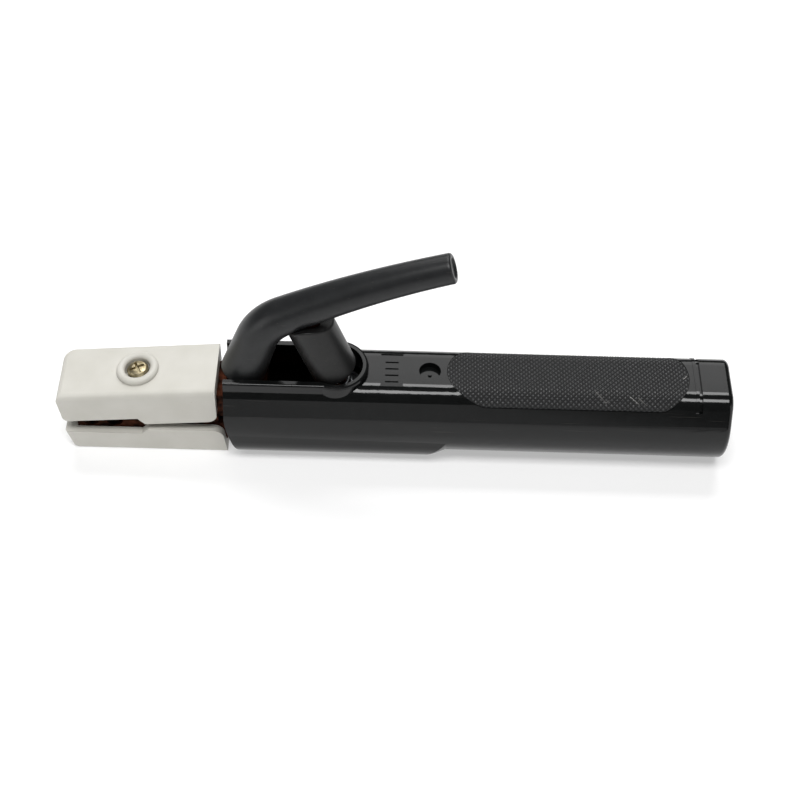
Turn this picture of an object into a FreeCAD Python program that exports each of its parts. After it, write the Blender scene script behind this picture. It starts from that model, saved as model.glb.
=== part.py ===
import FreeCAD, Part
import math
import os
from FreeCAD import Vector

# Electrode holder for stick welding, in millimetres.
# X runs along the holder from the jaws (-X) to the cable end (+X), Z is up on the lever side and
# Y is across. The origin is at the middle of the length, on the plane that the holder lies on.

# ---- lengths along the holder -------------------------------------------------------------------
cover_length = 59.2          # insulating jaw covers, nose to back face
cover_gap = 3.0              # air between the upper cover and the handle
handle_length = 187.8
nose_wall = 4.5              # solid nose of a jaw cover
pivot_setback = 8.8          # pivot axis behind the handle's front face
cup_setback = 41.0           # spring cup axis behind the handle's front face
socket_front_setback = 55.0  # front end of the cable socket behind the handle's front face
socket_length = 70.0
socket_depth = 46.0          # bored length of the cable socket
label_setback = 61.7         # recessed size panel, middle
lock_setback = 75.8          # handle locking screw
pad_setback = 82.1           # thumb pad, front end
pad_length = 89.9
band_setback = 175.0         # groove in front of the rear band

# ---- heights above the resting plane --------------------------------------------------------------
handle_axis_z = 18.0
pivot_z = 27.0
jaw_plane_z = 13.6           # where the two jaws meet
flat_top_z = 36.0            # flat along the top of the handle
rim_z = 38.4                 # rim of the lever trough and of the spring cup
beam_top_z = 23.5            # casting under the spring

# ---- handle ---------------------------------------------------------------------------------------
handle_front_radius = 17.6
handle_rear_radius = 18.0
handle_bore_radius = 13.6
cable_bore_radius = 14.2     # wider part of the bore behind the cable socket
flat_half_width = 6.5
shoulder_radius = 7.0        # rounding from the flat top to the straight flanks
trough_half_width = 8.8
trough_wall = 2.4
cup_play = 1.3               # spring cap inside the cup
cup_wall = 2.1
rim_round = 0.9
belly_corner = 12.0
belly_inset = 0.1            # sides of the belly inside the round handle
belly_length = 72.5          # from the handle's front face to where the belly starts to run out
belly_runout = 17.0
belly_reach = 20.3           # furthest that the belly's corners are from the handle's axis
front_rake = 7.0             # how far the front face leans back at the bottom
front_rake_height = 24.0
front_rake_bow = 0.38        # the rake's share at its bowed middle
front_rake_middle = 0.46     # height of that middle, as a share
pad_depth = 0.4              # knurl of the thumb pad, cut into the handle
pad_half_width = 13.2
pad_front_length = 15.0      # rounded front end of the pad
pad_back_length = 11.0
label_length = 8.2
label_width = 15.6
label_depth = 0.5
bar_count = 4
bar_length_share = 0.6       # of the panel's length
bar_width_share = 0.4        # of the space for one bar
bar_sunk = 0.1               # bars below the handle's top
lock_recess_radius = 4.05
lock_recess_depth = 2.4
band_groove_width = 1.3
band_groove_depth = 1.1
band_half_width = 13.2
band_rib_width = 1.2
band_rib_height = 0.25
end_round = 2.0

# ---- jaw covers -----------------------------------------------------------------------------------
cover_width = 25.0
cover_wall = 3.2
cover_round = 2.2
nose_round = 2.2             # nose of the upper cover, at the mouth
nose_corner_round = 5.0      # far front corner of the upper cover
upper_nose_z = 29.2          # top of the upper cover at its nose
upper_back_z = 35.2          # top of the upper cover at its back face
upper_edge_rise = 0.096      # lower edge of the upper cover, per millimetre towards the back
mouth_length = 29.5          # slot in the covers' sides that lets the rod in
mouth_over = 2.2             # upper cover above the jaw plane at the nose
mouth_under = 4.0            # lower cover below the jaw plane in the mouth
closed_over = 1.8            # upper cover above the jaw plane just behind the mouth
closed_under = 1.3           # lower cover below the jaw plane behind the mouth
mouth_step = 2.6
upper_nose_rake = 1.65
lower_nose_front = 1.4       # lower cover's nose behind the upper one's
lower_nose_rake = 2.4
lower_nose_round = 2.5
cover_back_round = 4.0
lower_back_reach = 1.6       # lower cover past the upper one at the back
lower_back_rake = 1.4
boss_setback = 29.6          # cover screw behind the nose
boss_radius = 7.9            # outside of the round ring that stands round the screw
boss_height = 2.0
boss_bore_radius = 4.8
boss_bore_depth = 3.9

# ---- castings -------------------------------------------------------------------------------------
jaw_fit = 0.15               # jaw in its cover
jaw_gap = 0.4                # between the closed jaws
upper_jaw_front_z = 23.5
upper_jaw_back_z = 28.5
lower_jaw_under_z = 4.2
groove_radius = 3.3          # rod grooves across the jaws
groove_setbacks = (11.0, 20.0)
neck_width = 17.0
neck_gap = 0.8               # neck ahead of the ears
neck_under = 3.0             # neck above the upper jaw's underside
web_under = 4.5
ear_radius = 6.5
ear_inner_half = 4.6
ear_thickness = 2.9
lever_boss_radius = 6.4
lever_boss_half = 4.4
socket_bore_radius = 8.0
socket_axis_z = handle_axis_z

# ---- pivot ----------------------------------------------------------------------------------------
pin_radius = 4.0
running_gap = 0.05
bore_clearance = 0.2         # casting inside the handle's bore
clip_thickness = 0.8
clip_radius = 5.6
clip_mouth = 3.2
pin_end = 0.2                # pin past its clips
pin_groove_depth = 0.6

# ---- lever ----------------------------------------------------------------------------------------
sleeve_start = 8.2           # height of the sleeve's lower end over the pivot axis
leg_offset = 1.9             # lever's middle line ahead of the pivot at that height
leg_angle = 72.0             # degrees, leg of the lever above the handle
leg_length = 17.5
knee_end_angle = 30.0
knee_bend_radius = 21.5
arm_end_angle = 18.5         # the arm straightens slowly from the knee to the tip
arm_length = 65.9
leg_half_x = 8.4
leg_half_y = 7.9
tip_radius = 5.5
slimming = 1.35              # how quickly the lever gets slim above the leg
lever_sections = 17
sleeve_wall = 1.8
sleeve_overhang = 1.0        # sleeve past the end of the metal arm

# ---- spring ---------------------------------------------------------------------------------------
cap_radius = 8.7
cap_wall = 1.4
cap_round = 0.8
cap_lip_round = 0.4
cap_seat_radius = 4.2
cap_length = 24.8
cap_gap = 0.45               # between the cap's rim and the sleeve over it
cap_lean = 19.5              # degrees from upright
cap_past_knee = 8.2          # along the lever's middle line, from the end of its knee
spring_play = 1.35           # wire inside the cap
spring_wire = 1.5
spring_turns = 8
spring_rest = 0.15           # wire over the seat, drawn clear of it
spring_top_gap = 0.2
spring_first = 0.9           # middle of the first turn over the lowest that it could lie
spring_last = 0.5
seat_setback = 1.4           # seat behind the cup's axis, in line with the leaning spring
seat_thickness = 1.4
seat_play = 0.8              # seat inside the cup
seat_lip_height = 0.8
seat_lip_width = 1.0
seat_pin_radius = 3.4
seat_pin_height = 2.6

# ---- fasteners ------------------------------------------------------------------------------------
cover_screw_radius = 2.0
cover_screw_length = 12.0    # upper screw; the lower one stops short of the jaw face
screw_end_gap = 1.0
cover_screw_head_radius = 4.0
cover_screw_head_height = 2.5
head_room = 0.4              # lower screw's head above the resting plane
cross_length = 5.4           # recess of a cover screw
cross_width = 1.1
cross_depth = 1.5
cross_turn = 25.0            # degrees, as the screws happen to stand
screw_hole_play = 0.25       # screw or washer in its hole
lock_washer_thickness = 0.9
lock_washer_radius = 3.9
lock_washer_gap = 0.7
clamp_screw_radius = 4.0
clamp_screw_sunk = 0.6
hexagon_radius = 2.3
hexagon_depth = 2.5
clamp_screw_setbacks = (22.0, 40.0)
lock_screw_radius = 3.0
lock_screw_length = 5.0
plug_thickness = 1.3
nipple_radius = 0.7
nipple_height = 0.6
liner_wall = 0.5
liner_slit = 3.0
liner_setback = 2.0         # liner inside both ends of the socket's bore

# ---- places worked out from the sizes above ---------------------------------------------------------
knee_length = knee_bend_radius * math.radians(leg_angle - knee_end_angle)
lever_line_length = leg_length + knee_length + arm_length
cup_radius = cap_radius + cup_play
seat_radius = cup_radius - seat_play
spring_radius = cap_radius - cap_wall - spring_play - spring_wire / 2
overall_length = cover_length + cover_gap + handle_length
nose_x = -overall_length / 2
tail_x = overall_length / 2
cover_back_x = nose_x + cover_length
front_x = cover_back_x + cover_gap
pivot_x = front_x + pivot_setback
cup_x = front_x + cup_setback
socket_front_x = front_x + socket_front_setback
socket_back_x = socket_front_x + socket_length
label_x = front_x + label_setback
lock_x = front_x + lock_setback
seat_x = cup_x + seat_setback
socket_radius = handle_bore_radius - bore_clearance
pad_x = front_x + pad_setback
band_x = front_x + band_setback
boss_x = nose_x + boss_setback
cover_inner_half = cover_width / 2 - cover_wall
jaw_half_width = cover_inner_half - jaw_fit
lower_jaw_top_z = jaw_plane_z - jaw_gap / 2
upper_jaw_under_z = jaw_plane_z + jaw_gap / 2
upper_slope = math.degrees(math.atan2(upper_back_z - upper_nose_z, cover_length))
boss_z = upper_nose_z + (upper_back_z - upper_nose_z) * boss_setback / cover_length
seat_top_z = beam_top_z + seat_thickness
over = 1.0                   # how far a cutting shape runs past what it cuts

EAST = Vector(1, 0, 0)
NORTH = Vector(0, 1, 0)
UP = Vector(0, 0, 1)


# ---- small helpers --------------------------------------------------------------------------------
def block(x0, x1, y0, y1, z0, z1):
    """Box between two corners."""
    return Part.makeBox(x1 - x0, y1 - y0, z1 - z0, Vector(x0, y0, z0))


def rod(start, direction, length, radius):
    """Solid cylinder from a point along a direction."""
    return Part.makeCylinder(radius, length, start, direction)


def tube(start, direction, length, outer, inner):
    """Pipe from a point along a direction."""
    return rod(start, direction, length, outer).cut(rod(start, direction, length, inner))


def side_plate(points, half_width):
    """Outline given as (x, z) points, as thick as half_width each side of Y = 0."""
    corners = [Vector(x, -half_width, z) for x, z in points]
    face = Part.Face(Part.makePolygon(corners + corners[:1]))
    return face.extrude(NORTH * (2 * half_width))


def rounded(shape, radius, wanted):
    """Fillet the edges for which wanted(edge) is true."""
    edges = [edge for edge in shape.Edges if wanted(edge)]
    return shape.makeFillet(radius, edges)


def revolved(profile, start, direction):
    """Solid of revolution: profile is (distance along the axis, radius) points."""
    turned = [Vector(radius, 0, along) for along, radius in profile]
    face = Part.Face(Part.makePolygon(turned + turned[:1]))
    solid = face.revolve(Vector(0, 0, 0), UP, 360)
    solid.Placement = FreeCAD.Placement(start, FreeCAD.Rotation(UP, direction))
    return solid


def fused(shapes):
    """One clean solid out of overlapping ones."""
    whole = shapes[0]
    for shape in shapes[1:]:
        whole = whole.fuse(shape)
    return whole.removeSplitter()


def along_x(edge):
    """True for a straight edge that runs mainly along the holder."""
    if not isinstance(edge.Curve, (Part.Line, Part.LineSegment)):
        return False
    direction = edge.tangentAt(edge.FirstParameter)
    return abs(direction.x) > 0.9


# ---- handle ---------------------------------------------------------------------------------------
def handle_radius(x):
    """Outer radius of the round handle, which grows evenly to the cable end."""
    share = (x - front_x) / handle_length
    return handle_front_radius + (handle_rear_radius - handle_front_radius) * share


def handle_section(x, grow):
    """Outline across the handle: flat top, round shoulders, straight flanks that touch the shoulders
    and the round underside. Grow moves it outwards all round."""
    radius = handle_radius(x) + grow
    top = flat_top_z + grow
    shoulder = shoulder_radius + grow
    rise = top - shoulder - handle_axis_z
    lean = math.atan2(flat_half_width, rise)
    lean += math.acos((radius - shoulder) / math.hypot(flat_half_width, rise))

    def on_shoulder(side, angle):
        return Vector(x, side * (flat_half_width + shoulder * math.sin(angle)),
                      top - shoulder + shoulder * math.cos(angle))

    def on_round(side):
        return Vector(x, side * radius * math.sin(lean), handle_axis_z + radius * math.cos(lean))

    corners = [on_shoulder(side, angle) for side, angle in
               ((-1, lean), (-1, lean / 2), (-1, 0), (1, 0), (1, lean / 2), (1, lean))]
    lowest = Vector(x, 0, handle_axis_z - radius)
    edges = [Part.Arc(*corners[:3]), Part.LineSegment(corners[2], corners[3]), Part.Arc(*corners[3:]),
             Part.LineSegment(corners[5], on_round(1)), Part.Arc(on_round(1), lowest, on_round(-1)),
             Part.LineSegment(on_round(-1), corners[0])]
    return Part.Wire([edge.toShape() for edge in edges])


def handle_slice(x0, x1, grow):
    """Solid of the handle's section between two places along it."""
    return Part.makeLoft([handle_section(x0, grow), handle_section(x1, grow)], True, True)


def top_slice(x0, x1, grow, half_width):
    """The same, over the top of the handle only."""
    return handle_slice(x0, x1, grow).common(
        block(x0 - over, x1 + over, -half_width, half_width, handle_axis_z, rim_z))


def runout_cutter():
    """Round bar about the handle's axis that narrows in an S from the belly's reach to inside the
    round handle: two equal arcs, each level at its outer end."""
    length = belly_runout / 2
    drop = (belly_reach - handle_front_radius + over) / 2
    bend = (length ** 2 + drop ** 2) / (2 * drop)
    half_turn = math.asin(length / bend) / 2
    sag = bend * (1 - math.cos(half_turn))
    reach = bend * math.sin(half_turn)
    start_x = front_x + belly_length

    def at(x, radius):
        return Vector(x, 0, handle_axis_z + radius)

    middle = at(start_x + length, belly_reach - drop)
    end = at(start_x + 2 * length, belly_reach - 2 * drop)
    first = Part.Arc(at(start_x, belly_reach), at(start_x + reach, belly_reach - sag), middle)
    second = Part.Arc(middle, at(end.x - reach, belly_reach - 2 * drop + sag), end)
    rest = Part.makePolygon([end, at(end.x, 0), at(front_x, 0), at(front_x, belly_reach),
                             at(start_x, belly_reach)])
    outline = Part.Wire([first.toShape(), second.toShape(), *rest.Edges])
    return Part.Face(outline).revolve(at(front_x, 0), EAST, 360)


def handle_outside():
    body = handle_slice(front_x, tail_x, 0)
    body = rounded(body, end_round, lambda e: abs(e.CenterOfMass.x - tail_x) < 0.01)

    belly_end_x = front_x + belly_length
    belly_half = handle_front_radius - belly_inset
    belly = block(front_x, belly_end_x + belly_runout, -belly_half, belly_half, 0, handle_axis_z)
    belly = rounded(belly, belly_corner, lambda e: along_x(e) and e.CenterOfMass.z < over)
    belly = belly.common(runout_cutter())

    trough_outer = trough_half_width + trough_wall
    walls = block(front_x, cup_x, -trough_outer, trough_outer, handle_axis_z, rim_z)
    walls = rounded(walls, rim_round, lambda e: along_x(e) and e.CenterOfMass.z > rim_z - over)
    cup_outer = cup_radius + cup_wall
    cup = revolved([(0, 0), (0, cup_outer), (rim_z - handle_axis_z - rim_round, cup_outer),
                    (rim_z - handle_axis_z - rim_round * 0.3, cup_outer - rim_round * 0.3),
                    (rim_z - handle_axis_z, cup_outer - rim_round), (rim_z - handle_axis_z, 0)],
                   Vector(cup_x, 0, handle_axis_z), UP)
    rib = top_slice(band_x - band_rib_width, band_x, band_rib_height, band_half_width)
    return fused([body, belly, walls, cup, rib]).cut(thumb_pad())


def thumb_pad():
    """What is cut away for the thumb pad: an oblong with rounded ends, as deep as the knurl."""
    front = pad_x + pad_front_length
    back = pad_x + pad_length - pad_back_length
    plan = block(front, back, -pad_half_width, pad_half_width, handle_axis_z, rim_z)
    for centre_x, length in ((front, pad_front_length), (back, pad_back_length)):
        centre = Vector(centre_x, 0, handle_axis_z)
        across = centre + NORTH * pad_half_width
        if length > pad_half_width:
            ellipse = Part.Ellipse(centre + EAST * length, across, centre)
        else:
            ellipse = Part.Ellipse(across, centre - EAST * length, centre)
        end = Part.Face(Part.Wire(ellipse.toShape())).extrude(UP * (rim_z - handle_axis_z))
        plan = plan.fuse(end)
    return plan.cut(handle_slice(pad_x - over, pad_x + pad_length + over, -pad_depth))


def handle_grip():
    shape = handle_outside()
    side = [(front_x, front_rake_height), (front_x, rim_z + over), (tail_x, rim_z + over),
            (tail_x, -over), (front_x + front_rake, -over)]
    middle = (front_x + front_rake * front_rake_bow, front_rake_height * front_rake_middle)
    side_outline = Part.Wire([
        Part.makePolygon([Vector(x, -40, z) for x, z in side]),
        Part.Arc(Vector(front_x + front_rake, -40, -over), Vector(middle[0], -40, middle[1]),
                 Vector(front_x, -40, front_rake_height)).toShape()])
    shape = shape.common(Part.Face(side_outline).extrude(NORTH * 80))

    bore = rod(Vector(front_x - over, 0, handle_axis_z), EAST, handle_length + 2 * over,
               handle_bore_radius)
    cable_bore = rod(Vector(socket_back_x, 0, handle_axis_z), EAST, handle_length, cable_bore_radius)
    trough = block(front_x - over, cup_x, -trough_half_width, trough_half_width,
                   handle_axis_z, rim_z + over)
    cup = rod(Vector(cup_x, 0, handle_axis_z), UP, rim_z, cup_radius)
    label_low = flat_top_z - label_depth
    label = block(label_x - label_length / 2, label_x + label_length / 2,
                  -label_width / 2, label_width / 2, label_low, rim_z)
    lock_hole = rod(Vector(lock_x, 0, handle_axis_z), UP, rim_z, lock_screw_radius + screw_hole_play)
    plug_seat_z = flat_top_z - lock_recess_depth - plug_thickness
    lock_recess = rod(Vector(lock_x, 0, plug_seat_z), UP, rim_z, lock_recess_radius)
    groove = top_slice(band_x, band_x + band_groove_width, over, band_half_width)
    groove = groove.cut(handle_slice(band_x - over, band_x + band_groove_width + over,
                                     -band_groove_depth))
    for cutter in (bore, cable_bore, trough, cup, label, lock_hole, lock_recess, groove):
        shape = shape.cut(cutter)
    return shape


def label_bars():
    """Four plain upright bars in the recessed panel of the handle."""
    bars = []
    step = label_width / (bar_count + 1)
    half_length = label_length * bar_length_share / 2
    half_width = step * bar_width_share / 2
    for index in range(bar_count):
        y = (index - (bar_count - 1) / 2) * step
        bars.append(block(label_x - half_length, label_x + half_length, y - half_width, y + half_width,
                          flat_top_z - label_depth, flat_top_z - bar_sunk))
    return Part.makeCompound(bars)


# ---- jaw covers -----------------------------------------------------------------------------------
def upper_cover():
    nose_z = jaw_plane_z + mouth_over
    mouth_x = nose_x + mouth_length
    closed_x = mouth_x + mouth_step
    closed_z = jaw_plane_z + closed_over
    low_x = nose_x + upper_nose_rake
    back_z = closed_z + upper_edge_rise * (cover_back_x - closed_x)
    outline = [(nose_x, upper_nose_z), (low_x, nose_z),
               (mouth_x, nose_z + upper_edge_rise * (mouth_x - low_x)), (closed_x, closed_z),
               (cover_back_x, back_z), (cover_back_x, upper_back_z)]
    shape = side_plate(outline, cover_width / 2)
    shape = rounded(shape, cover_back_round, lambda e: is_corner(e, cover_back_x, back_z))
    shape = rounded(shape, nose_round, lambda e: is_corner(e, low_x, nose_z))
    shape = rounded(shape, nose_corner_round,
                    lambda e: e.CenterOfMass.x < low_x and e.CenterOfMass.y > cover_width / 2 - 0.01
                    and abs(e.tangentAt(e.FirstParameter).z) > 0.9)
    shape = rounded(shape, cover_round, lambda e: e.CenterOfMass.z > upper_nose_z - 0.01
                    and (along_x(e) or e.CenterOfMass.x < low_x))
    lean = Vector(-math.sin(math.radians(upper_slope)), 0, math.cos(math.radians(upper_slope)))
    foot = Vector(boss_x, 0, boss_z)
    ring_middle = (boss_radius + boss_bore_radius - running_gap) / 2
    ring_round = boss_radius - ring_middle
    ring_centre = foot + lean * (boss_height - ring_round)
    shape = shape.fuse(Part.makeTorus(ring_middle, ring_round, ring_centre, lean))
    bore_floor = foot + lean * (boss_height - boss_bore_depth)
    shape = shape.cut(rod(bore_floor, lean, boss_bore_depth + over, boss_bore_radius))
    shape = shape.cut(rod(foot - lean * (upper_nose_z - jaw_plane_z), lean, upper_nose_z,
                          cover_screw_radius + screw_hole_play))
    return shape.cut(upper_jaw_bar(jaw_fit, over))


def is_corner(edge, x, z):
    """True for the edge across the holder at this place in the side view."""
    middle = edge.CenterOfMass
    return abs(middle.x - x) < 0.05 and abs(middle.z - z) < 0.05 and abs(middle.y) < 0.05


def lower_cover():
    mouth_z = jaw_plane_z - mouth_under
    closed_z = jaw_plane_z - closed_under
    mouth_x = nose_x + mouth_length + mouth_step / 3
    top_x = nose_x + lower_nose_front
    back_x = cover_back_x + lower_back_reach
    outline = [(top_x, mouth_z), (top_x + lower_nose_rake, 0), (back_x + lower_back_rake, 0),
               (back_x, closed_z), (mouth_x + mouth_step, closed_z), (mouth_x, mouth_z)]
    shape = side_plate(outline, cover_width / 2)
    shape = rounded(shape, cover_back_round, lambda e: is_corner(e, back_x, closed_z))
    shape = rounded(shape, lower_nose_round, lambda e: is_corner(e, top_x + lower_nose_rake, 0))
    shape = rounded(shape, cover_round * 0.6, lambda e: along_x(e) and e.CenterOfMass.z < over)
    head_depth = cover_screw_head_height + lock_washer_thickness + head_room
    head = rod(Vector(boss_x, 0, -over), UP, over + head_depth, boss_bore_radius)
    shank = rod(Vector(boss_x, 0, -over), UP, jaw_plane_z, cover_screw_radius + screw_hole_play)
    shape = shape.cut(head).cut(shank)
    return shape.cut(lower_jaw_bar(jaw_fit, over))


# ---- castings -------------------------------------------------------------------------------------
def upper_jaw_bar(grow, run_out):
    """Bar of the upper jaw; grown by the fit it is the pocket in the cover."""
    front = nose_x + nose_wall - grow
    back = cover_back_x + run_out
    low = upper_jaw_under_z - (grow and 2 * mouth_over)
    outline = [(front, low), (front, upper_jaw_front_z + grow), (cover_back_x, upper_jaw_back_z + grow),
               (back, upper_jaw_back_z + grow), (back, low)]
    return side_plate(outline, jaw_half_width + grow)


def lower_jaw_bar(grow, run_out):
    """Bar of the lower jaw; grown by the fit it is the pocket in the cover."""
    front = nose_x + nose_wall + lower_nose_front - grow
    back = cover_back_x + lower_back_reach + lower_back_rake + run_out
    top = lower_jaw_top_z + (grow and 2 * mouth_under)
    return block(front, back, -jaw_half_width - grow, jaw_half_width + grow,
                 lower_jaw_under_z - grow, top)


def rod_grooves():
    """Half-round grooves across both jaws for the welding rod."""
    grooves = []
    for setback in groove_setbacks:
        start = Vector(nose_x + setback, -cover_width, jaw_plane_z)
        grooves.append(rod(start, NORTH, 2 * cover_width, groove_radius))
    return grooves


def holder_body():
    bar = lower_jaw_bar(0, 0)
    neck_top = lower_jaw_top_z
    neck_low = handle_axis_z - math.sqrt((handle_bore_radius - bore_clearance) ** 2 - neck_width ** 2 / 4)
    neck = block(cover_back_x, cup_x, -neck_width / 2, neck_width / 2, neck_low, neck_top)
    ears = []
    for side in (-1, 1):
        inner = side * ear_inner_half
        outer = side * (ear_inner_half + ear_thickness)
        low_y, high_y = min(inner, outer), max(inner, outer)
        ears.append(block(pivot_x - ear_radius, pivot_x + ear_radius, low_y, high_y,
                          neck_top - over, pivot_z))
        ears.append(rod(Vector(pivot_x, low_y, pivot_z), NORTH, high_y - low_y, ear_radius))
    beam = block(seat_x - seat_radius, socket_front_x + over, -neck_width / 2, neck_width / 2,
                 neck_low, beam_top_z)
    spigot = rod(Vector(seat_x, 0, beam_top_z - over), UP,
                 over + seat_thickness + seat_pin_height, seat_pin_radius)
    socket = rod(Vector(socket_front_x, 0, socket_axis_z), EAST, socket_length, socket_radius)
    shape = fused([bar, neck] + ears + [beam, spigot, socket])

    shape = shape.cut(rod(Vector(socket_back_x - socket_depth, 0, socket_axis_z), EAST,
                          socket_depth + over, socket_bore_radius))
    shape = shape.cut(rod(Vector(pivot_x, -neck_width, pivot_z), NORTH, 2 * neck_width, pin_radius))
    for hole in rod_grooves():
        shape = shape.cut(hole)
    for x in clamp_screw_places():
        shape = shape.cut(rod(Vector(x, 0, 0), UP, socket_axis_z, clamp_screw_radius))
    shape = shape.cut(rod(Vector(lock_x, 0, lock_screw_low_z()), UP, handle_axis_z, lock_screw_radius))
    return shape.cut(rod(Vector(boss_x, 0, 0), UP, jaw_plane_z, cover_screw_radius))


def clamp_screw_places():
    return [socket_back_x - setback for setback in clamp_screw_setbacks]


def lock_screw_low_z():
    return flat_top_z - lock_recess_depth - plug_thickness - lock_screw_length - 4 * running_gap


def lever_point(distance):
    """Middle line of the lever: straight leg, tight knee, then an arm that bends very little.

    Gives x, z and the direction in degrees at a distance along the line."""
    x = pivot_x - leg_offset
    z = pivot_z + sleeve_start
    arm_bend_radius = arm_length / math.radians(knee_end_angle - arm_end_angle)
    run = min(distance, leg_length)
    x = x + run * math.cos(math.radians(leg_angle))
    z = z + run * math.sin(math.radians(leg_angle))
    angle = leg_angle
    left = distance - run
    for radius, length in ((knee_bend_radius, knee_length), (arm_bend_radius, arm_length)):
        run = min(left, length)
        turned = angle - math.degrees(run / radius)
        x = x + radius * (math.sin(math.radians(angle)) - math.sin(math.radians(turned)))
        z = z + radius * (math.cos(math.radians(turned)) - math.cos(math.radians(angle)))
        angle = turned
        left = left - run
    return x, z, angle


def lever_half(distance):
    """Half size of the lever in its side view."""
    share = 1 - distance / lever_line_length
    return tip_radius + (leg_half_x - tip_radius) * max(share, 0) ** slimming


def lever_loft(shrink, start, end):
    """Smooth bar along the lever's middle line, thinner all round by shrink."""
    wires = []
    for index in range(lever_sections):
        distance = start + (end - start) * index / (lever_sections - 1)
        x, z, angle = lever_point(distance)
        turn = math.radians(angle)
        along = Vector(math.cos(turn), 0, math.sin(turn))
        across = Vector(-math.sin(turn), 0, math.cos(turn))
        centre = Vector(x, 0, z)
        half_plane = lever_half(distance) - shrink
        half_y = min(lever_half(distance), leg_half_y) - shrink
        if half_plane - half_y < 0.001:
            outline = Part.Circle(centre, along, half_plane)
        else:
            outline = Part.Ellipse(centre + across * half_plane, centre + NORTH * half_y, centre)
        wires.append(Part.Wire(outline.toShape()))
    return Part.makeLoft(wires, True)


def lever_sleeve():
    outside = lever_loft(0, 0, lever_line_length)
    return outside.cut(lever_inside(sleeve_wall)).cut(cap_seat(2 * running_gap))


def lever_inside(shrink):
    """Bar that runs a little past both ends of the sleeve."""
    return lever_loft(shrink, -0.3, lever_line_length + over)


def cap_axis():
    """Top centre of the spring cap and the direction from the arm down into the cup."""
    distance = leg_length + knee_length + cap_past_knee
    x, z, angle = lever_point(distance)
    lean = math.radians(cap_lean)
    down = Vector(math.sin(lean), 0, -math.cos(lean))
    drop = cap_gap + cap_radius * math.tan(math.radians(angle - cap_lean))
    return Vector(x, 0, z) + down * (lever_half(distance) + drop), down


def cap_seat(grow):
    """Cast pad under the arm that the spring cap is pressed against."""
    top, down = cap_axis()
    reach = sleeve_wall + cap_gap + 4 * over
    return rod(top - down * reach, down, reach, cap_seat_radius + grow)


def lever_arm():
    bar = upper_jaw_bar(0, 0)
    neck_back = pivot_x - ear_radius - neck_gap
    neck = block(cover_back_x - over, neck_back, -neck_width / 2, neck_width / 2,
                 upper_jaw_under_z + neck_under, upper_jaw_back_z)
    hub = rod(Vector(pivot_x, -lever_boss_half, pivot_z), NORTH, 2 * lever_boss_half, lever_boss_radius)
    web = side_plate([(neck_back - over, upper_jaw_under_z + web_under),
                      (pivot_x, pivot_z - lever_boss_radius),
                      (pivot_x + lever_boss_radius, pivot_z),
                      (pivot_x + 0.5 * leg_half_x, pivot_z + 0.65 * sleeve_start),
                      (pivot_x - 0.95 * leg_half_x, pivot_z + 1.1 * sleeve_start),
                      (neck_back - over, upper_jaw_back_z)], lever_boss_half)
    x, z, angle = lever_point(lever_line_length - sleeve_overhang)
    tip_along = Vector(math.cos(math.radians(angle)), 0, math.sin(math.radians(angle)))
    past_tip = rod(Vector(x, 0, z), tip_along, leg_half_x, leg_half_x)
    core = lever_inside(sleeve_wall + running_gap).cut(past_tip)
    leg_along = Vector(math.cos(math.radians(leg_angle)), 0, math.sin(math.radians(leg_angle)))
    x, z, angle = lever_point(-0.6 * sleeve_start)
    root = rod(Vector(x, 0, z), leg_along, 2 * sleeve_start, lever_boss_half - 4 * running_gap)
    shape = fused([bar, neck, hub, web, root, core, cap_seat(0)])
    shape = shape.cut(rod(Vector(pivot_x, -neck_width, pivot_z), NORTH, 2 * neck_width,
                          pin_radius + running_gap))
    for hole in rod_grooves():
        shape = shape.cut(hole)
    lean = Vector(-math.sin(math.radians(upper_slope)), 0, math.cos(math.radians(upper_slope)))
    foot = Vector(boss_x, 0, boss_z)
    return shape.cut(rod(foot - lean * (boss_z - jaw_plane_z), lean, boss_z, cover_screw_radius))


# ---- pivot ----------------------------------------------------------------------------------------
def pivot_pin():
    half = ear_inner_half + ear_thickness + running_gap + clip_thickness + pin_end
    pin = rod(Vector(pivot_x, -half, pivot_z), NORTH, 2 * half, pin_radius)
    for side in (-1, 1):
        y = side * (ear_inner_half + ear_thickness + running_gap)
        low = min(y, y + side * clip_thickness)
        pin = pin.cut(tube(Vector(pivot_x, low, pivot_z), NORTH, clip_thickness,
                           pin_radius + over, pin_radius - pin_groove_depth))
    return pin


def pivot_clips():
    """Open snap rings in the pin's two grooves."""
    clips = []
    for side in (-1, 1):
        y = side * (ear_inner_half + ear_thickness + running_gap)
        low = min(y, y + side * clip_thickness)
        ring = tube(Vector(pivot_x, low, pivot_z), NORTH, clip_thickness, clip_radius,
                    pin_radius - pin_groove_depth)
        mouth = block(pivot_x - clip_mouth / 2, pivot_x + clip_mouth / 2,
                      low - over, low + clip_thickness + over, pivot_z - clip_radius - over, pivot_z)
        clips.append(ring.cut(mouth))
    return Part.makeCompound(clips)


# ---- spring ---------------------------------------------------------------------------------------
def spring_cap():
    top, down = cap_axis()
    cap = revolved([(0, 0), (0, cap_radius - cap_round), (cap_round, cap_radius),
                    (cap_length - cap_lip_round, cap_radius), (cap_length, cap_radius - cap_lip_round),
                    (cap_length, cap_radius - cap_wall),
                    (cap_wall, cap_radius - cap_wall), (cap_wall, 0)], top, down)
    return cap


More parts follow.
